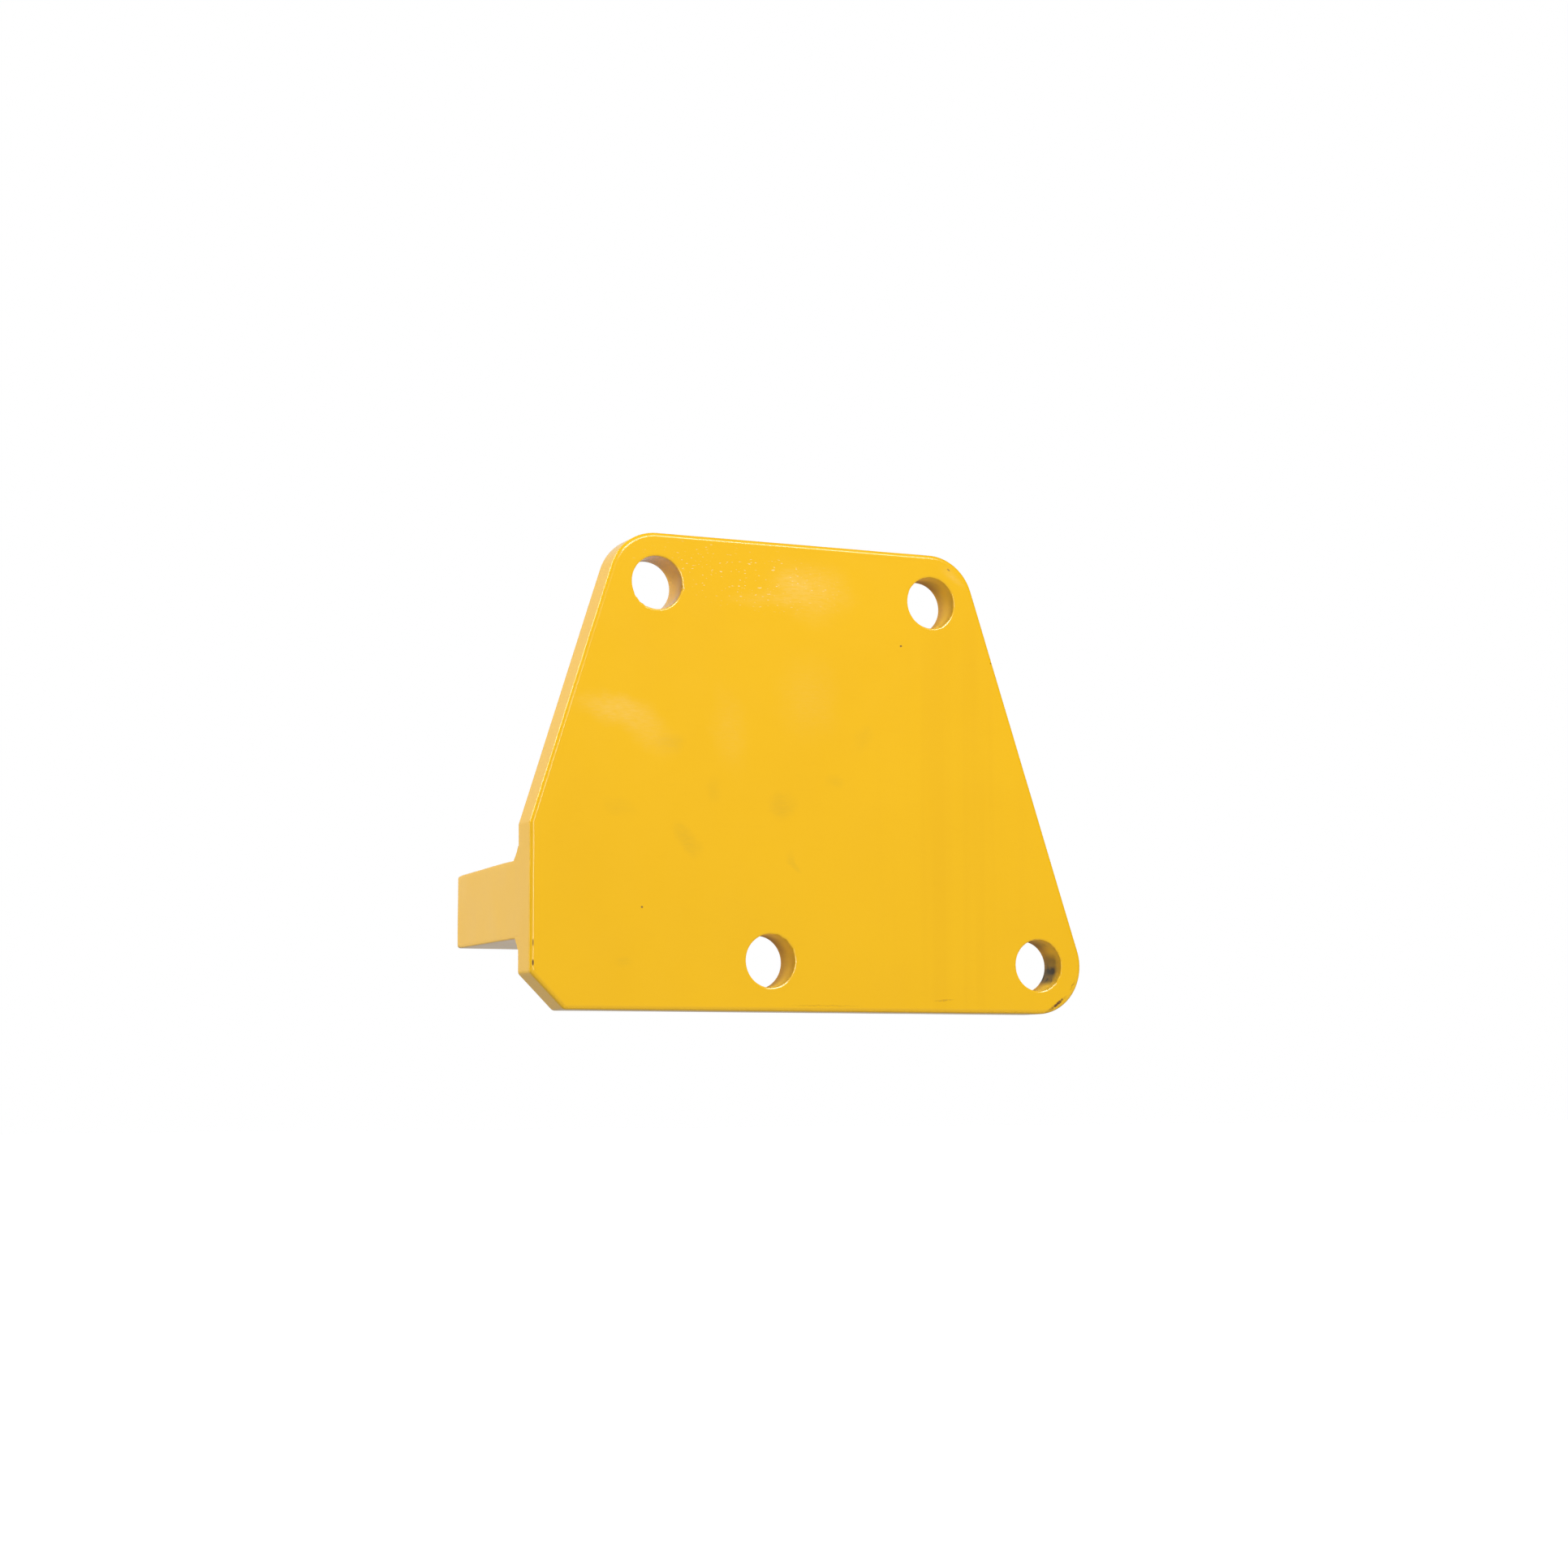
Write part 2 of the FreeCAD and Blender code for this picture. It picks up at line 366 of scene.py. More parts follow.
class Paint:
    """Gloss yellow paint: its colour, roughness and orange peel."""

    def __init__(self, name, base_roughness):
        self.finish = bpy.context.scene.bracket_paint
        self.base_roughness = base_roughness
        self.material = bpy.data.materials.new(name)
        self.graph = Graph(self.material)
        self.place = self.graph.node("ShaderNodeTexCoord", {}, {}, "Object")
        tone, rough = self.worn(self.tone(), self.roughness())
        sockets = {
            "Base Color": tone,
            "Roughness": rough,
            "IOR": 1.5,
            "Normal": self.relief(),
        }
        shader = self.graph.node("ShaderNodeBsdfPrincipled", {}, sockets)
        self.graph.node("ShaderNodeOutputMaterial", {}, {"Surface": shader})

    def solid(self, name):
        return (*getattr(self.finish, name), 1.0)

    def tone(self):
        """Yellow that drifts slightly, with fine darker grain where the coat is thin."""
        cloud = self.graph.grain(self.place, 45 * MM, detail=3.0)
        thin = self.graph.grain(self.place, 2.2 * MM, (3.5, 1, 1), 3.0, 0.6)
        drift = self.graph.remap(cloud, 0.35, 0.75) * 0.16 + self.graph.remap(thin, 0.5, 0.9) * 0.12
        return self.graph.blend(drift, self.solid("yellow"), self.solid("deep_yellow"))

    def roughness(self):
        patches = self.graph.grain(self.place, 12 * MM, detail=3.0)
        return self.base_roughness - 0.05 + patches * 0.10

    def relief(self):
        """Orange peel, over a slower unevenness of the steel."""
        peel = self.graph.grain(self.place, self.finish.peel_size, (1.6, 1, 1), 2.0)
        slow = self.graph.grain(self.place, 9 * MM, detail=1.0)
        rolled = self.graph.node(
            "ShaderNodeBump", {}, {"Strength": 1.0, "Distance": 0.05 * MM, "Height": slow}
        )
        sockets = {
            "Strength": 1.0,
            "Distance": self.finish.peel_height,
            "Height": peel,
            "Normal": rolled,
        }
        return self.graph.node("ShaderNodeBump", {}, sockets)

    def worn(self, tone, rough):
        """Colour and roughness after use; plain paint keeps both."""
        return tone, rough

    def flat_marks(self, where, marks, soft, deep=7 * MM):
        """Sum of the marks of one kind, which fade out as deep as given behind the front face."""
        total = 0.0
        for x, z, long, high, lean, amount in marks:
            reach = (long * MM, deep, high * MM)
            total = self.graph.spot(where, (x * MM, 0.0, z * MM), reach, lean, soft) * amount + total
        return total


class FacePaint(Paint):
    """The plate's paint, with the marks on its front face."""

    def worn(self, tone, rough):
        graph = self.graph
        wandering = graph.stray(self.place, 9 * MM, 7 * MM)
        jagged = graph.stray(self.place, 1.3 * MM, 0.9 * MM)
        streaks = graph.grain(self.place, 0.55 * MM, (6, 1, 1), 3.0, 0.65)
        tone = graph.blend(self.bands(), tone, self.solid("deep_yellow"))
        # Painted reflection: pale patches where the lights would mirror, which are also made slightly
        # rougher.
        haze_and_reflection = self.flat_marks(wandering, HAZES_AND_REFLECTIONS, 0.95) * graph.remap(streaks, 0.30, 0.70, 0.35, 1.0)
        tone = graph.blend(haze_and_reflection, tone, self.solid("pale_reflection_yellow"))
        smudge = self.flat_marks(wandering, SMUDGES, 0.9) * graph.remap(streaks, 0.3, 0.7, 0.4, 0.9)
        tone = graph.blend(smudge, tone, self.solid("rubbed"))
        # Painted glints: streaks of light along the top of the face.
        tone = graph.blend(self.painted_glints(), tone, self.solid("glint_highlight"))
        fibres = graph.grain(self.place, 0.5 * MM, (1.6, 1, 1), 3.0)
        scuff = self.flat_marks(jagged, SCUFFS, 0.8) * graph.remap(fibres, 0.35, 0.60, 0.35, 1.1)
        chip = self.flat_marks(self.place, SPECKS, 0.5) + scuff
        tone = graph.blend(chip, tone, self.solid("rust"))
        return tone, rough + haze_and_reflection * 0.15 + chip * 0.4

    def bands(self):
        """Faint upright darker bands on the right of the face."""
        banding = self.graph.grain(self.place, 8 * MM, (1, 1, 40), 2.0)
        middle = (17 * MM, 0.0, 50 * MM)
        on_right = self.graph.spot(self.place, middle, (36 * MM, 7 * MM, 110 * MM), 0.0, 0.5)
        return self.graph.remap(banding, 0.40, 0.65) * on_right * 0.20

    def painted_glints(self):
        """Painted glints: short light streaks along the plate's top, where the orange peel catches the
        light.
        """
        middle = (-62 * MM, 0.0, 130 * MM)
        near_top = self.graph.spot(self.place, middle, (50 * MM, 4 * MM, 13 * MM), -6, 0.8)
        fine = self.graph.grain(self.place, 0.50 * MM, (3.5, 1, 1), 1.0)
        return self.graph.remap(fine, 0.67, 0.73) * near_top * 0.8


class BorePaint(Paint):
    """The coat inside the bolt holes: dry, with painted light at the mouths and painted shade that
    darkens with depth, but glossy in the upper left one.
    """

    def worn(self, tone, rough):
        graph = self.graph
        reach = (14 * MM, 1.0, 14 * MM)
        fresh = graph.spot(self.place, (upper_left.x, 0.0, upper_left.y), reach, 0.0, 0.1)
        depth = graph.node("ShaderNodeSeparateXYZ", {}, {0: self.place}, "Y")
        # Painted light and shade: the bores are lighter at the mouth and darker with depth; thin holds
        # that colour.
        shade_with_depth = graph.remap(depth, 3.5 * MM, 11.0 * MM)
        thin = graph.blend(shade_with_depth, self.solid("dry_lit_yellow"), self.solid("bore_shade_yellow"))
        thin = graph.blend(0.90, tone, thin)
        tone = graph.blend(shade_with_depth * 0.5, tone, self.solid("bore_shade_yellow"))
        patchy = graph.remap(graph.grain(self.place, 3.5 * MM, detail=3.0), 0.50, 0.72)
        caked = graph.remap(depth, 1.5 * MM, 5.5 * MM, 0.15, 1.0) * (0.65 + 0.35 * patchy)
        dirty = self.flat_marks(self.place, BORE_DIRT, 0.7, 40 * MM) * caked
        tone = graph.blend(fresh, thin, tone)
        tone = graph.blend(dirty, tone, self.solid("soot"))
        return tone, rough - fresh * (self.finish.bore_roughness - self.finish.roughness)


def painted(slot):
    """The gloss paint of one of the record's material slots."""
    name = "gloss_" + slot
    kind = FacePaint if slot == "plate_paint" else Paint
    found = bpy.data.materials.get(name)
    return found or kind(name, bpy.context.scene.bracket_paint.roughness).material


def painted_bore():
    return BorePaint("bore_paint", bpy.context.scene.bracket_paint.bore_roughness).material


# ---------------------------------------------------------------- mesh tools


def uneven(x, y, z, size, seed=0.0):
    """Smooth noise from 0 to 1 with features of about one size."""
    value = noise.noise(Vector((x / size + seed, y / size, z / size)))
    return min(1.0, max(0.0, 0.5 + value))


def flank(y, z):
    """How far the ground left side stands in, the same on plate, weld and bar."""
    sizes = bpy.context.scene.bracket_plate
    return sizes.flank_wave * uneven(0.0, y, z, 14 * MM, seed=3.0)


def rounded_outline(corners, radii, step):
    """Points and outward directions round a polygon, anticlockwise from the front."""
    count = len(corners)
    runs = []
    for i in range(count):
        before = (corners[i] - corners[i - 1]).normalized()
        after = (corners[(i + 1) % count] - corners[i]).normalized()
        bend = before.angle_signed(after) * -1
        start = math.atan2(-before.x, before.y)
        outward = Vector((math.cos(start), math.sin(start)))
        centre = corners[i] - before * radii[i] * math.tan(bend / 2) - outward * radii[i]
        pieces = max(4, round(bend * radii[i] / step))
        angles = [start + bend * j / pieces for j in range(pieces + 1)]
        out = [Vector((math.cos(angle), math.sin(angle))) for angle in angles]
        runs.append([(centre + direction * radii[i], direction) for direction in out])
    points = []
    for i, arc in enumerate(runs):
        points += arc
        (start, _), (end, out) = arc[-1], runs[(i + 1) % count][0]
        pieces = max(1, round((end - start).length / step))
        points += [(start.lerp(end, j / pieces), out) for j in range(1, pieces)]
    return points


# Pieces of a front edge's two arcs, before and after its tilted flat, and of a back edge's arc.
FACE_ARC = 2
WALL_ARC = 6
BACK_ARC = 4


def rounded(radius, first, last, pieces):
    """(inset, depth) along a rounded edge, from one angle to another; 0 is where the face ends."""
    angles = [first + (last - first) * i / pieces for i in range(pieces + 1)]
    return [(radius * (1 - math.sin(angle)), radius * (1 - math.cos(angle))) for angle in angles]


def rounded_back(radius, pieces, y):
    """(inset, y) of a rounded edge, from the wall to a back face at one depth."""
    steps = rounded(radius, 0.0, QUARTER_TURN, pieces)
    return [(inset, y - depth) for inset, depth in reversed(steps)]


def facetted(sizes, radius, facet):
    """(inset, y) of a front edge: face, short arc, tilted flat, and the arc on to the wall."""
    tilt = sizes.facet_tilt
    run = facet * math.cos(tilt)
    drop = facet * math.sin(tilt)
    steps = [(inset + run, y) for inset, y in rounded(radius, 0.0, tilt, FACE_ARC)]
    return steps + [(inset, y + drop) for inset, y in rounded(radius, tilt, QUARTER_TURN, WALL_ARC)]


# Edges bent more than this are shaded as creases, except on slivers.
SHARP_ANGLE = math.radians(35)
SLIVER_AREA = 0.01 * MM**2


def ring(mesh, points):
    return [mesh.verts.new(point) for point in points]


def skin(mesh, rings):
    """Quads between neighbouring closed rings."""
    faces = []
    for low, high in zip(rings, rings[1:]):
        for i in range(len(low)):
            faces.append(mesh.faces.new((low[i - 1], low[i], high[i], high[i - 1])))
    return faces


def fill(mesh, loops):
    """Flat face bounded by one outer loop and any inner ones."""
    edges = [mesh.edges.get((loop[i - 1], loop[i])) for loop in loops for i in range(len(loop))]
    bmesh.ops.triangle_fill(mesh, use_beauty=True, use_dissolve=False, edges=edges)


def finished(mesh, name, node, slot):
    """Turns the mesh into a piece that stands for a CAD node."""
    bmesh.ops.recalc_face_normals(mesh, faces=mesh.faces)
    for edge in mesh.edges:
        if min(face.calc_area() for face in edge.link_faces) > SLIVER_AREA:
            edge.smooth = edge.calc_face_angle() < SHARP_ANGLE
    for face in mesh.faces:
        face.smooth = True
    data = bpy.data.meshes.new(name)
    mesh.to_mesh(data)
    mesh.free()
    data.materials.append(painted(slot))
    piece = bpy.data.objects.new(name, data)
    bpy.context.scene.collection.objects.link(piece)
    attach(piece, "root")
    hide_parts(node)
    return piece


# ---------------------------------------------------------------- plate

# How far the rings that hold the shading of flat faces stand off the rounded edges: on the
# large faces, and on the walls.
SUPPORT = 0.4 * MM
TIGHT = 0.08 * MM

# Ring of a bore at which its own coat starts, just short of the wall.
COAT_START = FACE_ARC + WALL_ARC + 1

# Flaws of the hole mouths: angle and half width in degrees, and how far the edge is pushed out.
RIM_FLAWS = {
    "upper_left": ((-9, 8, 0.50), (212, 9, 0.30), (228, 8, 0.35), (243, 7, 0.25)),
    "upper_right": ((150, 12, 0.15), (-60, 12, 0.15)),
    "lower_left": ((28, 8, 0.35), (50, 9, 0.30), (72, 8, 0.25)),
    "lower_right": ((12, 6, 0.25), (-20, 7, 0.35), (-42, 6, 0.25)),
}


def sharp_corner(hole, first, last):
    """Where the two sides meet that both touch a corner's arc, given their outward angles."""
    middle = (first + last) / 2
    reach = edge_distance / math.cos((last - first) / 2)
    return hole + Vector((math.cos(middle), math.sin(middle))) * reach


def plate_outline(sizes):
    cut_top = plate_low.z + sizes.corner_cut
    up = QUARTER_TURN
    corners = [
        sharp_corner(lower_right, -up, side_lean),
        sharp_corner(upper_right, side_lean, up),
        sharp_corner(upper_left, up, math.pi - side_lean),
        Vector((left_x, cut_top + sizes.straight_edge)),
        Vector((left_x, cut_top)),
        Vector((left_x + sizes.corner_cut, plate_low.z)),
    ]
    radii = [edge_distance] * 3 + [sizes.eased_corner] * 3
    return rounded_outline(corners, radii, sizes.edge_step)


def edge_wave(sizes, point, y):
    """How far the plate's side stands in at one place."""
    on_left_edge = point.x < left_x + 0.1 * MM
    if on_left_edge:
        return flank(y, point.y)
    return sizes.sheared_wave * uneven(point.x, y, point.y, 16 * MM)


def plate_ring(mesh, sizes, outline, inset, y):
    places = []
    for point, out in outline:
        place = point - out * (inset + edge_wave(sizes, point, y))
        places.append((place.x, y, place.y))
    return ring(mesh, places)


def wall_steps(sizes):
    """(inset, y) from the front face, over the side, to the back face."""
    rows = 8
    front = facetted(sizes, sizes.front_round, sizes.facet)
    back = rounded_back(sizes.back_round, BACK_ARC, back_y)
    first = front[-1][1]
    last = back[0][1]
    wall = [(0.0, first + (last - first) * i / rows) for i in range(1, rows)]
    wall = [(0.0, first + TIGHT)] + wall + [(0.0, last - TIGHT)]
    return [(front[0][0] + SUPPORT, 0.0)] + front + wall + back + [(sizes.back_round + SUPPORT, back_y)]


def rim_push(sizes, name, angle, y):
    """How far the flaws push a hole's front edge outwards."""
    fade = max(0.0, 1.0 - y / sizes.flaw_depth)
    total = 0.0
    for middle, width, push in RIM_FLAWS[name]:
        away = abs((math.degrees(angle) - middle + 180) % 360 - 180) / width
        total += push * MM * max(0.0, 1.0 - away)
    return total * fade


def hole_ring(mesh, sizes, name, centre, widening, y):
    """One ring of a bore; its unevenness is finer round the bore than along it."""
    count = 120
    places = []
    for i in range(count):
        angle = 2 * math.pi * i / count
        bored = sizes.bore_wave * uneven(math.cos(angle), y / (4 * MM), math.sin(angle), 0.6)
        radius = hole_radius + widening + bored + rim_push(sizes, name, angle, y)
        places.append((centre.x + radius * math.cos(angle), y, centre.y + radius * math.sin(angle)))
    return ring(mesh, places)


def hole_steps(sizes):
    """(widening, y) from the front face through a hole to the back face."""
    rows = 10
    soft = sizes.hole_round
    front = facetted(sizes, soft, sizes.hole_facet)
    back = rounded_back(soft, BACK_ARC, back_y)
    first = front[-1][1]
    wall = [(0.0, first + (back_y - soft - first) * i / rows) for i in range(1, rows)]
    return [(front[0][0] + SUPPORT, 0.0)] + front + wall + back + [(soft + SUPPORT, back_y)]


def build_plate():
    sizes = bpy.context.scene.bracket_plate
    mesh = bmesh.new()
    outline = plate_outline(sizes)
    rings = [plate_ring(mesh, sizes, outline, inset, y) for inset, y in wall_steps(sizes)]
    skin(mesh, rings)
    fronts, backs = [rings[0]], [rings[-1]]
    holes = {
        "upper_left": upper_left,
        "upper_right": upper_right,
        "lower_left": lower_left,
        "lower_right": lower_right,
    }
    for name, centre in holes.items():
        bore = [hole_ring(mesh, sizes, name, centre, wider, y) for wider, y in hole_steps(sizes)]
        for face in skin(mesh, bore[COAT_START:-1]):
            face.material_index = 1
        skin(mesh, bore[: COAT_START + 1])
        skin(mesh, bore[-2:])
        fronts.append(bore[0])
        backs.append(bore[-1])
    fill(mesh, fronts)
    fill(mesh, backs)
    plate = finished(mesh, "painted_plate", "mounting_plate", "plate_paint")
    plate.data.materials.append(painted_bore())
    return plate


# ---------------------------------------------------------------- bar


def top_at(y):
    """Height of the bar's ground top at one depth."""
    sizes = bpy.context.scene.bracket_bar
    past = max(0.0, y - (bar_high.y - sizes.fall_length)) / sizes.fall_length
    return bar_high.z - sizes.top_fall * past


def rounded_rectangle(low, high, radius):
    """Points round a rectangle with rounded corners, from its lower right corner on."""
    arc, side = 4, 16
    corners = [Vector((high.x, low.y)), high, Vector((low.x, high.y)), low]
    middle = (low + high) / 2
    places = []
    for i, corner in enumerate(corners):
        after = corners[(i + 1) % 4]
        inward = Vector([math.copysign(radius, middle[axis] - corner[axis]) for axis in range(2)])
        for j in range(arc + 1):
            angle = QUARTER_TURN * (i - 1 + j / arc)
            places.append(corner + inward + Vector((math.cos(angle), math.sin(angle))) * radius)
        trimmed = (after - corner).normalized() * radius
        places += [(corner + trimmed).lerp(after - trimmed, j / side) for j in range(1, side)]
    return places


def bar_ring(mesh, y, inset, radius):
    """One ring across the bar, its left side held back along the groove bevel."""
    sizes = bpy.context.scene.bracket_bar
    bevel = max(0.0, back_y + bpy.context.scene.bracket_beads.groove - y)
    low = Vector((left_x + bevel + inset, bar_low.z + inset))
    high = Vector((bar_high.x - inset, top_at(y) - inset))
    middle = (low + high) / 2
    shaped = []
    for place in rounded_rectangle(low, high, radius):
        ground = max(0.0, 1.0 - (place.x - low.x) / sizes.ground_width)
        dip = sizes.rolled_wave * uneven(place.x, y, place.y, 11 * MM, seed=7.0)
        across = math.copysign(dip, place.x - middle.x) * (1 - ground)
        x = place.x + ground * flank(y, place.y) - across
        shaped.append((x, y, place.y - math.copysign(dip, place.y - middle.y)))
    return ring(mesh, shaped)


def build_bar():
    sizes = bpy.context.scene.bracket_bar
    groove_end = back_y + bpy.context.scene.bracket_beads.groove
    mesh = bmesh.new()
    steps = [(back_y, SUPPORT), (back_y, 0.0)]
    steps += [(back_y + (groove_end - back_y) * i / 4, 0.0) for i in range(1, 5)]
    last = bar_high.y - sizes.end_round
    rows = 44
    steps += [(groove_end + (last - groove_end) * i / rows, 0.0) for i in range(1, rows)]
    steps += [(y, inset) for inset, y in rounded_back(sizes.end_round, 6, bar_high.y)]
    steps += [(bar_high.y, sizes.end_round + SUPPORT)]
    rings = []
    for y, inset in steps:
        near_end = max(0.0, 1.0 - max(0.0, last - y) / sizes.end_blend)
        corner = sizes.edge_round + (sizes.end_round - sizes.edge_round) * near_end
        rings.append(bar_ring(mesh, y, inset, max(corner - inset, TIGHT)))
    skin(mesh, rings)
    fill(mesh, [rings[0]])
    fill(mesh, [rings[-1]])
    return finished(mesh, "painted_bar", "stop_bar", "bar_paint")


# ---------------------------------------------------------------- beads


def build_flush_bead():
    """Groove bead along the bar's flush side, ground level with the plate and the bar."""
    plate = bpy.context.scene.bracket_plate
    soft = bpy.context.scene.bracket_bar.edge_round
    groove = bpy.context.scene.bracket_beads.groove
    mesh = bmesh.new()
    root = rounded_back(plate.back_round, BACK_ARC, back_y)
    first = back_y - plate.back_round
    face = [(0.0, first + (back_y + groove - first) * i / 8) for i in range(8, 0, -1)]
    section = face + root + [(groove * (4 - i) / 4, back_y + groove * i / 4) for i in range(4)]
    depths = [soft * (1 - math.cos(math.pi / 8 * i)) for i in range(5)]
    eased = [(bar_low.z + d, soft - math.sqrt(soft**2 - (soft - d) ** 2)) for d in depths]
    ended = [(bar_high.z - d, soft - math.sqrt(soft**2 - (soft - d) ** 2)) for d in reversed(depths)]
    low, high = eased[-1][0], ended[0][0]
    levels = eased + [(low + (high - low) * i / 24, 0.0) for i in range(1, 24)] + ended
    rings = []
    for z, held_in in levels:
        places = []
        for inset, y in section:
            x = left_x + inset
            if inset < 0.3 * MM:
                x += held_in + flank(y, z)
            places.append((x, y, z))
        rings.append(ring(mesh, places))
    skin(mesh, rings)
    fill(mesh, [rings[0]])
    fill(mesh, [rings[-1]])
    return finished(mesh, "flush_bead", "outer_groove_weld", "weld_paint")


class Bead:
    """A rippled fillet bead in the corner between the plate's back and the bar."""

    def __init__(self, name, seed):
        self.name = name
        self.seed = seed
        self.sizes = bpy.context.scene.bracket_beads
        self.mesh = bmesh.new()
        self.rings = []
        self.run = 0.0

    def section(self, corner, out, on_plate, on_bar, ground=0.0):
        """One ring: the curved skin from plate toe to bar toe, and the buried root."""
        sizes = self.sizes
        wander = sizes.toe_wander * (1 - ground)
        on_plate += wander * (uneven(self.run, 0, 0, 5 * MM, self.seed) - 0.5)
        on_bar += wander * (uneven(self.run, 0, 0, 5 * MM, self.seed + 9) - 0.5)
        steps = 14
        share_of_lift = 0.7
        places = []
        for i in range(steps + 1):
            t = i / steps
            swell = 4 * t * (1 - t)
            dip = 1 - sizes.hollow * swell
            along_plate = on_plate * (1 - t) * dip
            along_bar = on_bar * t * dip
            lift = self.ripple(swell) * (1 - ground) * share_of_lift
            place = corner + out * (along_plate + lift)
            place.y = back_y + along_bar + lift
            places.append(place)
        buried = 0.6 * MM
        for y in (back_y + on_bar, back_y - buried):
            place = corner - out * buried
            place.y = y
            places.append(place)
        root = corner + out * on_plate
        root.y = back_y - buried
        places.append(root)
        self.rings.append(ring(self.mesh, places))

    def ripple(self, swell):
        """Height of the ripples, which trail behind at the toes like stacked crescents."""
        pitch = self.sizes.ripple_pitch * (0.9 + 0.2 * uneven(self.run, 0, 0, 8 * MM, self.seed))
        phase = (self.run + (1 - swell) * pitch * 0.55) / pitch
        crest = 0.5 - 0.5 * math.cos(2 * math.pi * phase)
        tall = 0.6 + 0.8 * uneven(self.run, 0, 0, 3 * MM, self.seed + 4)
        return self.sizes.ripple_depth * tall * (crest - 0.4) * min(1.0, swell * 2.2)

    def build(self, node):
        skin(self.mesh, self.rings)
        fill(self.mesh, [self.rings[0]])
        fill(self.mesh, [self.rings[-1]])
        return finished(self.mesh, self.name, node, "weld_paint")


def straight_bead(name, node, corner_z, out, on_plate, on_bar, seed):
    """A bead along the bar's top or underside, ground flush at its left end."""
    bead = Bead(name, seed)
    count = 150
    span = bar_high.x - left_x
    for i in range(count + 1):
        bead.run = span * i / count
        ground = max(0.0, 1.0 - bead.run / bead.sizes.ground_end)
        x = left_x + bead.run
        bead.section(Vector((x, back_y, corner_z)), out, on_plate, on_bar, ground)
    for vertex in bead.rings[0]:
        vertex.co.x += flank(vertex.co.y, vertex.co.z)
    return bead.build(node)


def build_upper_bead():
    sizes = bpy.context.scene.bracket_beads
    legs = (sizes.upper_on_plate, sizes.upper_on_bar)
    return straight_bead("upper_bead", "upper_fillet_weld", bar_high.z, Vector((0, 0, 1)), *legs, 1.0)


def build_lower_bead():
    sizes = bpy.context.scene.bracket_beads
    legs = (sizes.lower_on_plate, sizes.lower_on_bar)
    return straight_bead("lower_bead", "lower_fillet_weld", bar_low.z, Vector((0, 0, -1)), *legs, 2.0)


def build_inner_bead():
    """The bead on the bar's right side, which wraps round both of its corners."""
    sizes = bpy.context.scene.bracket_beads
    bead = Bead("inner_bead", 5.0)
    upper = Vector((sizes.upper_on_plate, sizes.upper_on_bar))
    lower = Vector((sizes.lower_on_plate, sizes.lower_on_bar))
    side = Vector((sizes.inner_leg, sizes.inner_leg))
    turns = 24
    rows = 100
    for i in range(turns):
        t = i / turns
        bead.run = upper.x * angle_share(t)
        legs = upper.lerp(side, ease(t))
        outward = spoke(QUARTER_TURN * (1 - t))
        bead.section(Vector((bar_high.x, back_y, bar_high.z)), outward, legs.x, legs.y)
    start = bead.run
    for i in range(rows + 1):
        z = bar_high.z + (bar_low.z - bar_high.z) * i / rows
        bead.run = start + (bar_high.z - z)
        bead.section(Vector((bar_high.x, back_y, z)), spoke(0.0), side.x, side.y)
    start = bead.run
    for i in range(1, turns + 1):
        t = i / turns
        bead.run = start + side.x * angle_share(t)
        legs = side.lerp(lower, ease(t))
        bead.section(Vector((bar_high.x, back_y, bar_low.z)), spoke(-QUARTER_TURN * t), legs.x, legs.y)
    return bead.build("inner_fillet_weld")


def ease(t):
    """0 to 1 with a level start and end."""
    return t * t * (3 - 2 * t)


def angle_share(t):
    """Length run at the middle of a fan's radius, for a share t of its quarter turn."""
    return t * math.pi / 4


def spoke(angle):
    return Vector((math.cos(angle), 0.0, math.sin(angle)))


# ---------------------------------------------------------------- studio


# Soft lights: name, width and height, direction from the object, and distance.
LIGHTS = (
    ("key", (1.25, 0.42), (0.20, -0.78, 0.585), 2.0),
    ("strip", (0.10, 0.50), (-0.24, -0.94, 0.11), 1.2),
    ("back_left", (0.7, 0.9), (-0.95, 0.30, 0.20), 1.2),
    ("back_top", (0.7, 0.7), (-0.75, 0.30, 0.60), 1.2),
)


def aimed_light(name, size, power, direction, distance):
    """Rectangular soft light that faces the object."""
    data = bpy.data.lights.new(name, "AREA")
    data.shape = "RECTANGLE"
    data.size, data.size_y = size
    data.energy = power
    lamp = bpy.data.objects.new(name, data)
    middle = (cad_low + cad_high) / 2
    towards = Vector(direction).normalized()
    lamp.location = middle + towards * distance
    lamp.rotation_mode = "QUATERNION"
    lamp.rotation_quaternion = towards.to_track_quat("Z", "Y")
    lamp.visible_camera = False
    bpy.context.scene.collection.objects.link(lamp)


def build_camera(setup):
    data = bpy.data.cameras.new("camera")
    data.lens = setup.lens
    data.sensor_width = 36.0
    data.clip_end = 100.0
    camera = bpy.data.objects.new("camera", data)
    heading = Matrix.Rotation(setup.camera_turn, 4, "Z")
    tilt = Matrix.Rotation(QUARTER_TURN + setup.camera_tilt, 4, "X")
    roll = Matrix.Rotation(setup.camera_roll, 4, "Z")
    camera.matrix_world = Matrix.Translation(setup.camera_place) @ heading @ tilt @ roll
    bpy.context.scene.collection.objects.link(camera)
    bpy.context.scene.camera = camera


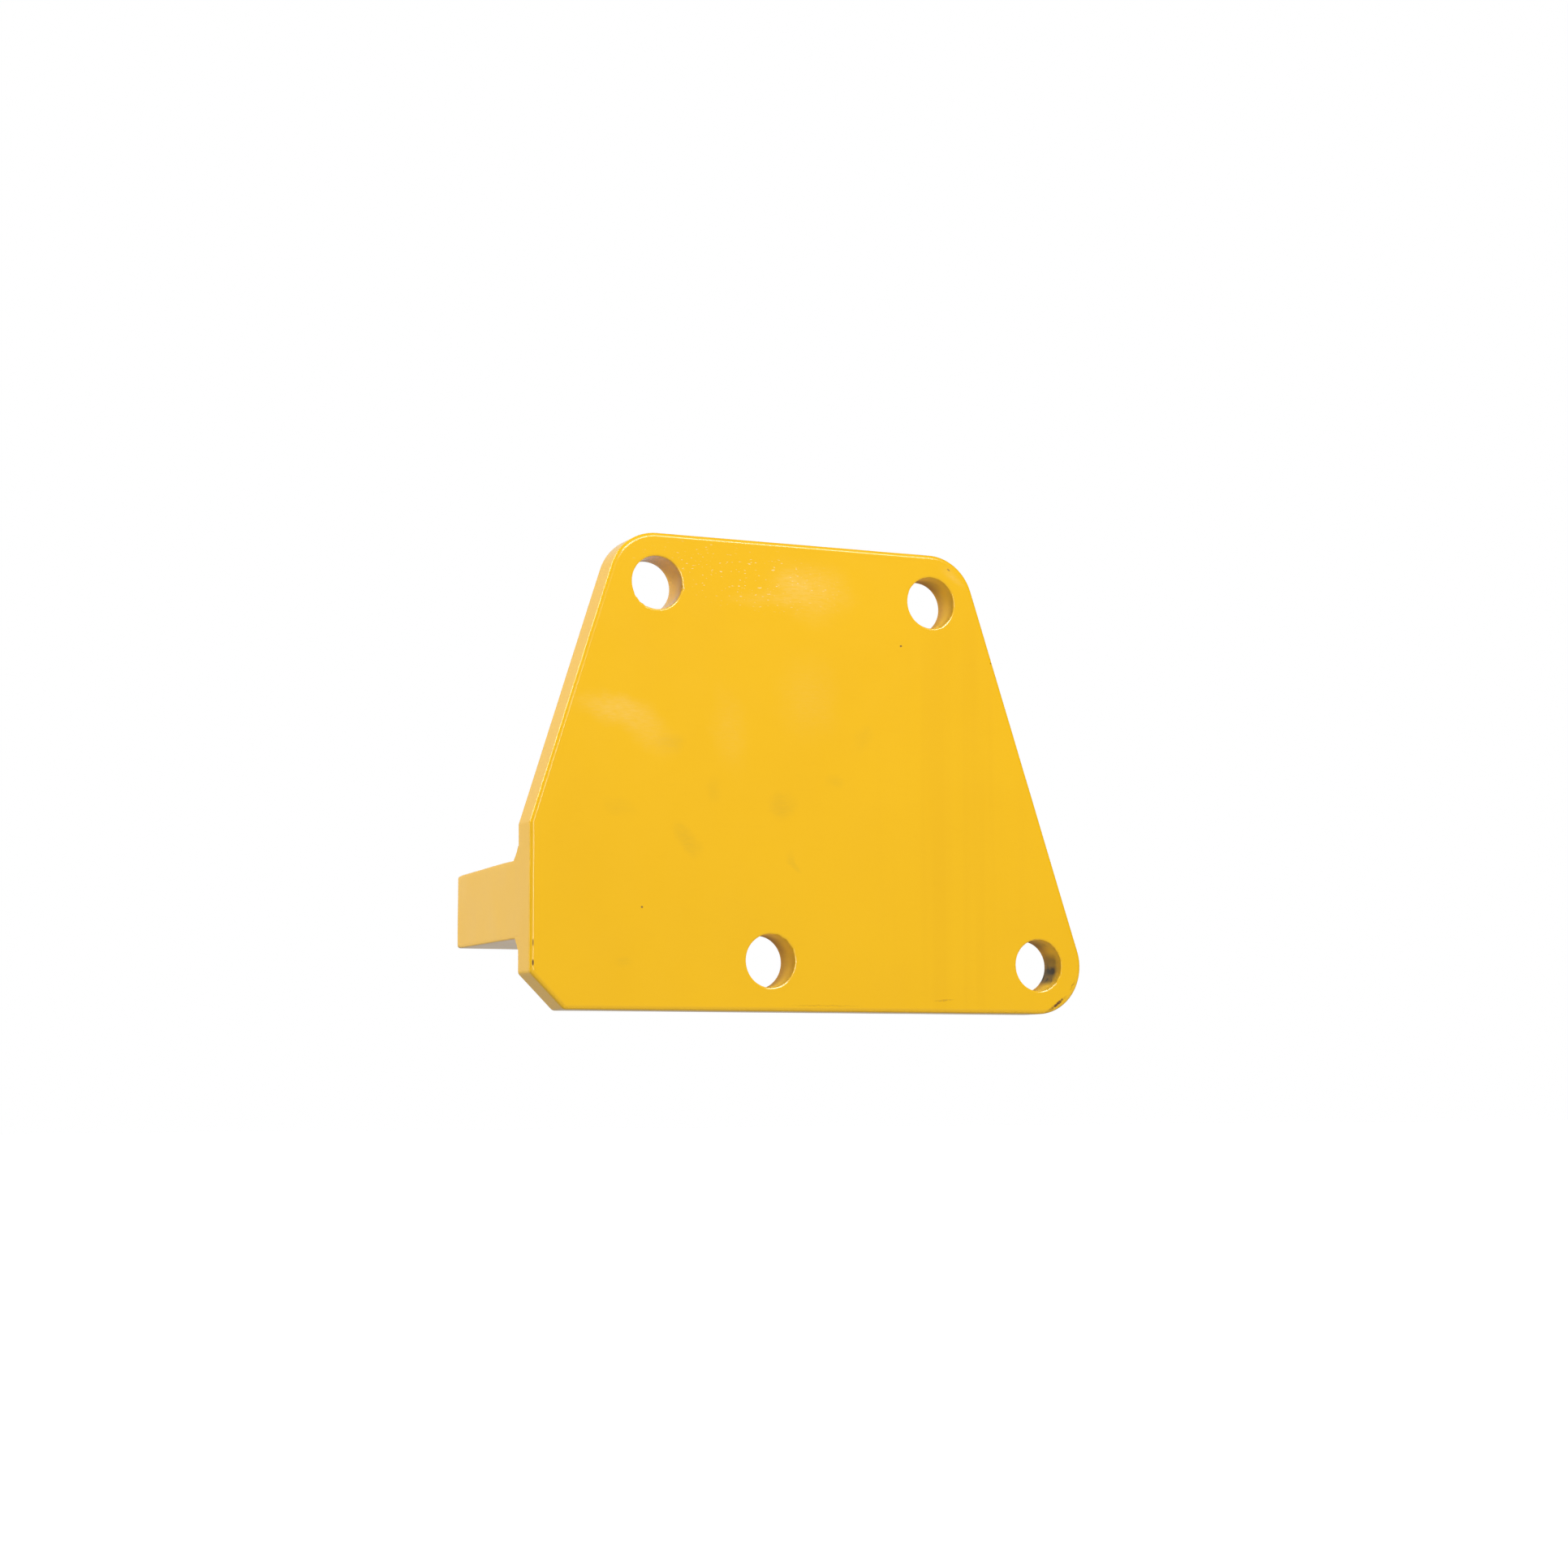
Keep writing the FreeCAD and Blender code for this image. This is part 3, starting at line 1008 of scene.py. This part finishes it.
def build_world(setup):
    """White to the camera; to the object, walls, ceiling and floor of their own brightness."""
    world = bpy.data.worlds.new("studio")
    bpy.context.scene.world = world
    graph = Graph(world)
    towards = graph.node("ShaderNodeTexCoord", {}, {}, "Generated")
    depth = graph.node("ShaderNodeSeparateXYZ", {}, {0: towards}, "Y")
    height = graph.node("ShaderNodeSeparateXYZ", {}, {0: towards}, "Z")
    away = graph.maths("MAXIMUM", depth, 0.0)
    near = graph.maths("MAXIMUM", 0.0 - depth, 0.0)
    walls = away * away * setup.behind + near * near * setup.front + height * height * setup.above
    over = graph.remap(height, -0.12, 0.03)
    ground = graph.remap(depth, -0.3, 0.3, setup.below_front, setup.below_behind)
    level = over * walls + (1 - over) * ground
    seen = graph.node("ShaderNodeBackground", {}, {"Color": (1, 1, 1, 1), "Strength": 1.0})
    felt = graph.node("ShaderNodeBackground", {}, {"Color": (1, 1, 1, 1), "Strength": level})
    camera_ray = graph.node("ShaderNodeLightPath", {}, {}, "Is Camera Ray")
    mixed = graph.node("ShaderNodeMixShader", {}, {0: camera_ray, 1: felt, 2: seen})
    graph.node("ShaderNodeOutputWorld", {}, {"Surface": mixed})


def build_floor(setup):
    """Large white floor well below the object, with its far edge out of sight."""
    mesh = bmesh.new()
    half_width = 30.0
    bmesh.ops.create_grid(mesh, x_segments=24, y_segments=24, size=half_width)
    data = bpy.data.meshes.new("floor")
    mesh.to_mesh(data)
    mesh.free()
    floor = bpy.data.objects.new("floor", data)
    floor.location.z = cad_low.z - setup.floor_drop
    material = bpy.data.materials.new("floor")
    graph = Graph(material)
    sockets = {
        "Base Color": (0.9, 0.9, 0.9, 1.0),
        "Roughness": 0.9,
        "Emission Color": (1.0, 1.0, 1.0, 1.0),
        "Emission Strength": 1.0,
    }
    shader = graph.node("ShaderNodeBsdfPrincipled", {}, sockets)
    graph.node("ShaderNodeOutputMaterial", {}, {"Surface": shader})
    data.materials.append(material)
    bpy.context.scene.collection.objects.link(floor)
    floor.visible_diffuse = False
    floor.visible_glossy = False


def build_studio():
    setup = bpy.context.scene.bracket_studio
    build_camera(setup)
    build_world(setup)
    build_floor(setup)
    for name, size, direction, distance in LIGHTS:
        aimed_light(name, size, getattr(setup, name + "_power"), direction, distance)
    bpy.context.scene.view_settings.view_transform = "Standard"


# ---------------------------------------------------------------- operators and panel


class BRACKET_OT_plate(Operator):
    """Build the painted plate with its four bolt holes"""

    bl_idname = "bracket.plate"
    bl_label = "Build plate"

    def execute(self, context):
        build_plate()
        return {"FINISHED"}


class BRACKET_OT_bar(Operator):
    """Build the stop bar"""

    bl_idname = "bracket.bar"
    bl_label = "Build bar"

    def execute(self, context):
        build_bar()
        return {"FINISHED"}


class BRACKET_OT_beads(Operator):
    """Build the flush bead and the three fillet beads"""

    bl_idname = "bracket.beads"
    bl_label = "Build weld beads"

    def execute(self, context):
        build_flush_bead()
        build_upper_bead()
        build_lower_bead()
        build_inner_bead()
        return {"FINISHED"}


class BRACKET_OT_studio(Operator):
    """Build the floor, the lights, the world and the camera"""

    bl_idname = "bracket.studio"
    bl_label = "Build studio"

    def execute(self, context):
        build_studio()
        return {"FINISHED"}


class BRACKET_PT_sidebar(Panel):
    """Lists the operators and their settings"""

    bl_idname = "BRACKET_PT_sidebar"
    bl_label = "Stop bracket"
    bl_space_type = "VIEW_3D"
    bl_region_type = "UI"
    bl_category = "Bracket"

    def draw(self, context):
        for operator in OPERATORS:
            self.layout.operator(operator.bl_idname)
        for holder, group in SETTINGS:
            box = self.layout.box()
            for name in group.__annotations__:
                box.prop(getattr(context.scene, holder), name)


OPERATORS = (BRACKET_OT_plate, BRACKET_OT_bar, BRACKET_OT_beads, BRACKET_OT_studio)


def register():
    for holder, group in SETTINGS:
        bpy.utils.register_class(group)
        setattr(bpy.types.Scene, holder, PointerProperty(type=group))
    for operator in OPERATORS:
        bpy.utils.register_class(operator)
    bpy.utils.register_class(BRACKET_PT_sidebar)


def unregister():
    bpy.utils.unregister_class(BRACKET_PT_sidebar)
    for operator in reversed(OPERATORS):
        bpy.utils.unregister_class(operator)
    for holder, group in reversed(SETTINGS):
        delattr(bpy.types.Scene, holder)
        bpy.utils.unregister_class(group)


def main():
    register()
    bpy.ops.bracket.plate()
    bpy.ops.bracket.bar()
    bpy.ops.bracket.beads()
    bpy.ops.bracket.studio()


if __name__ == "__main__":
    main()
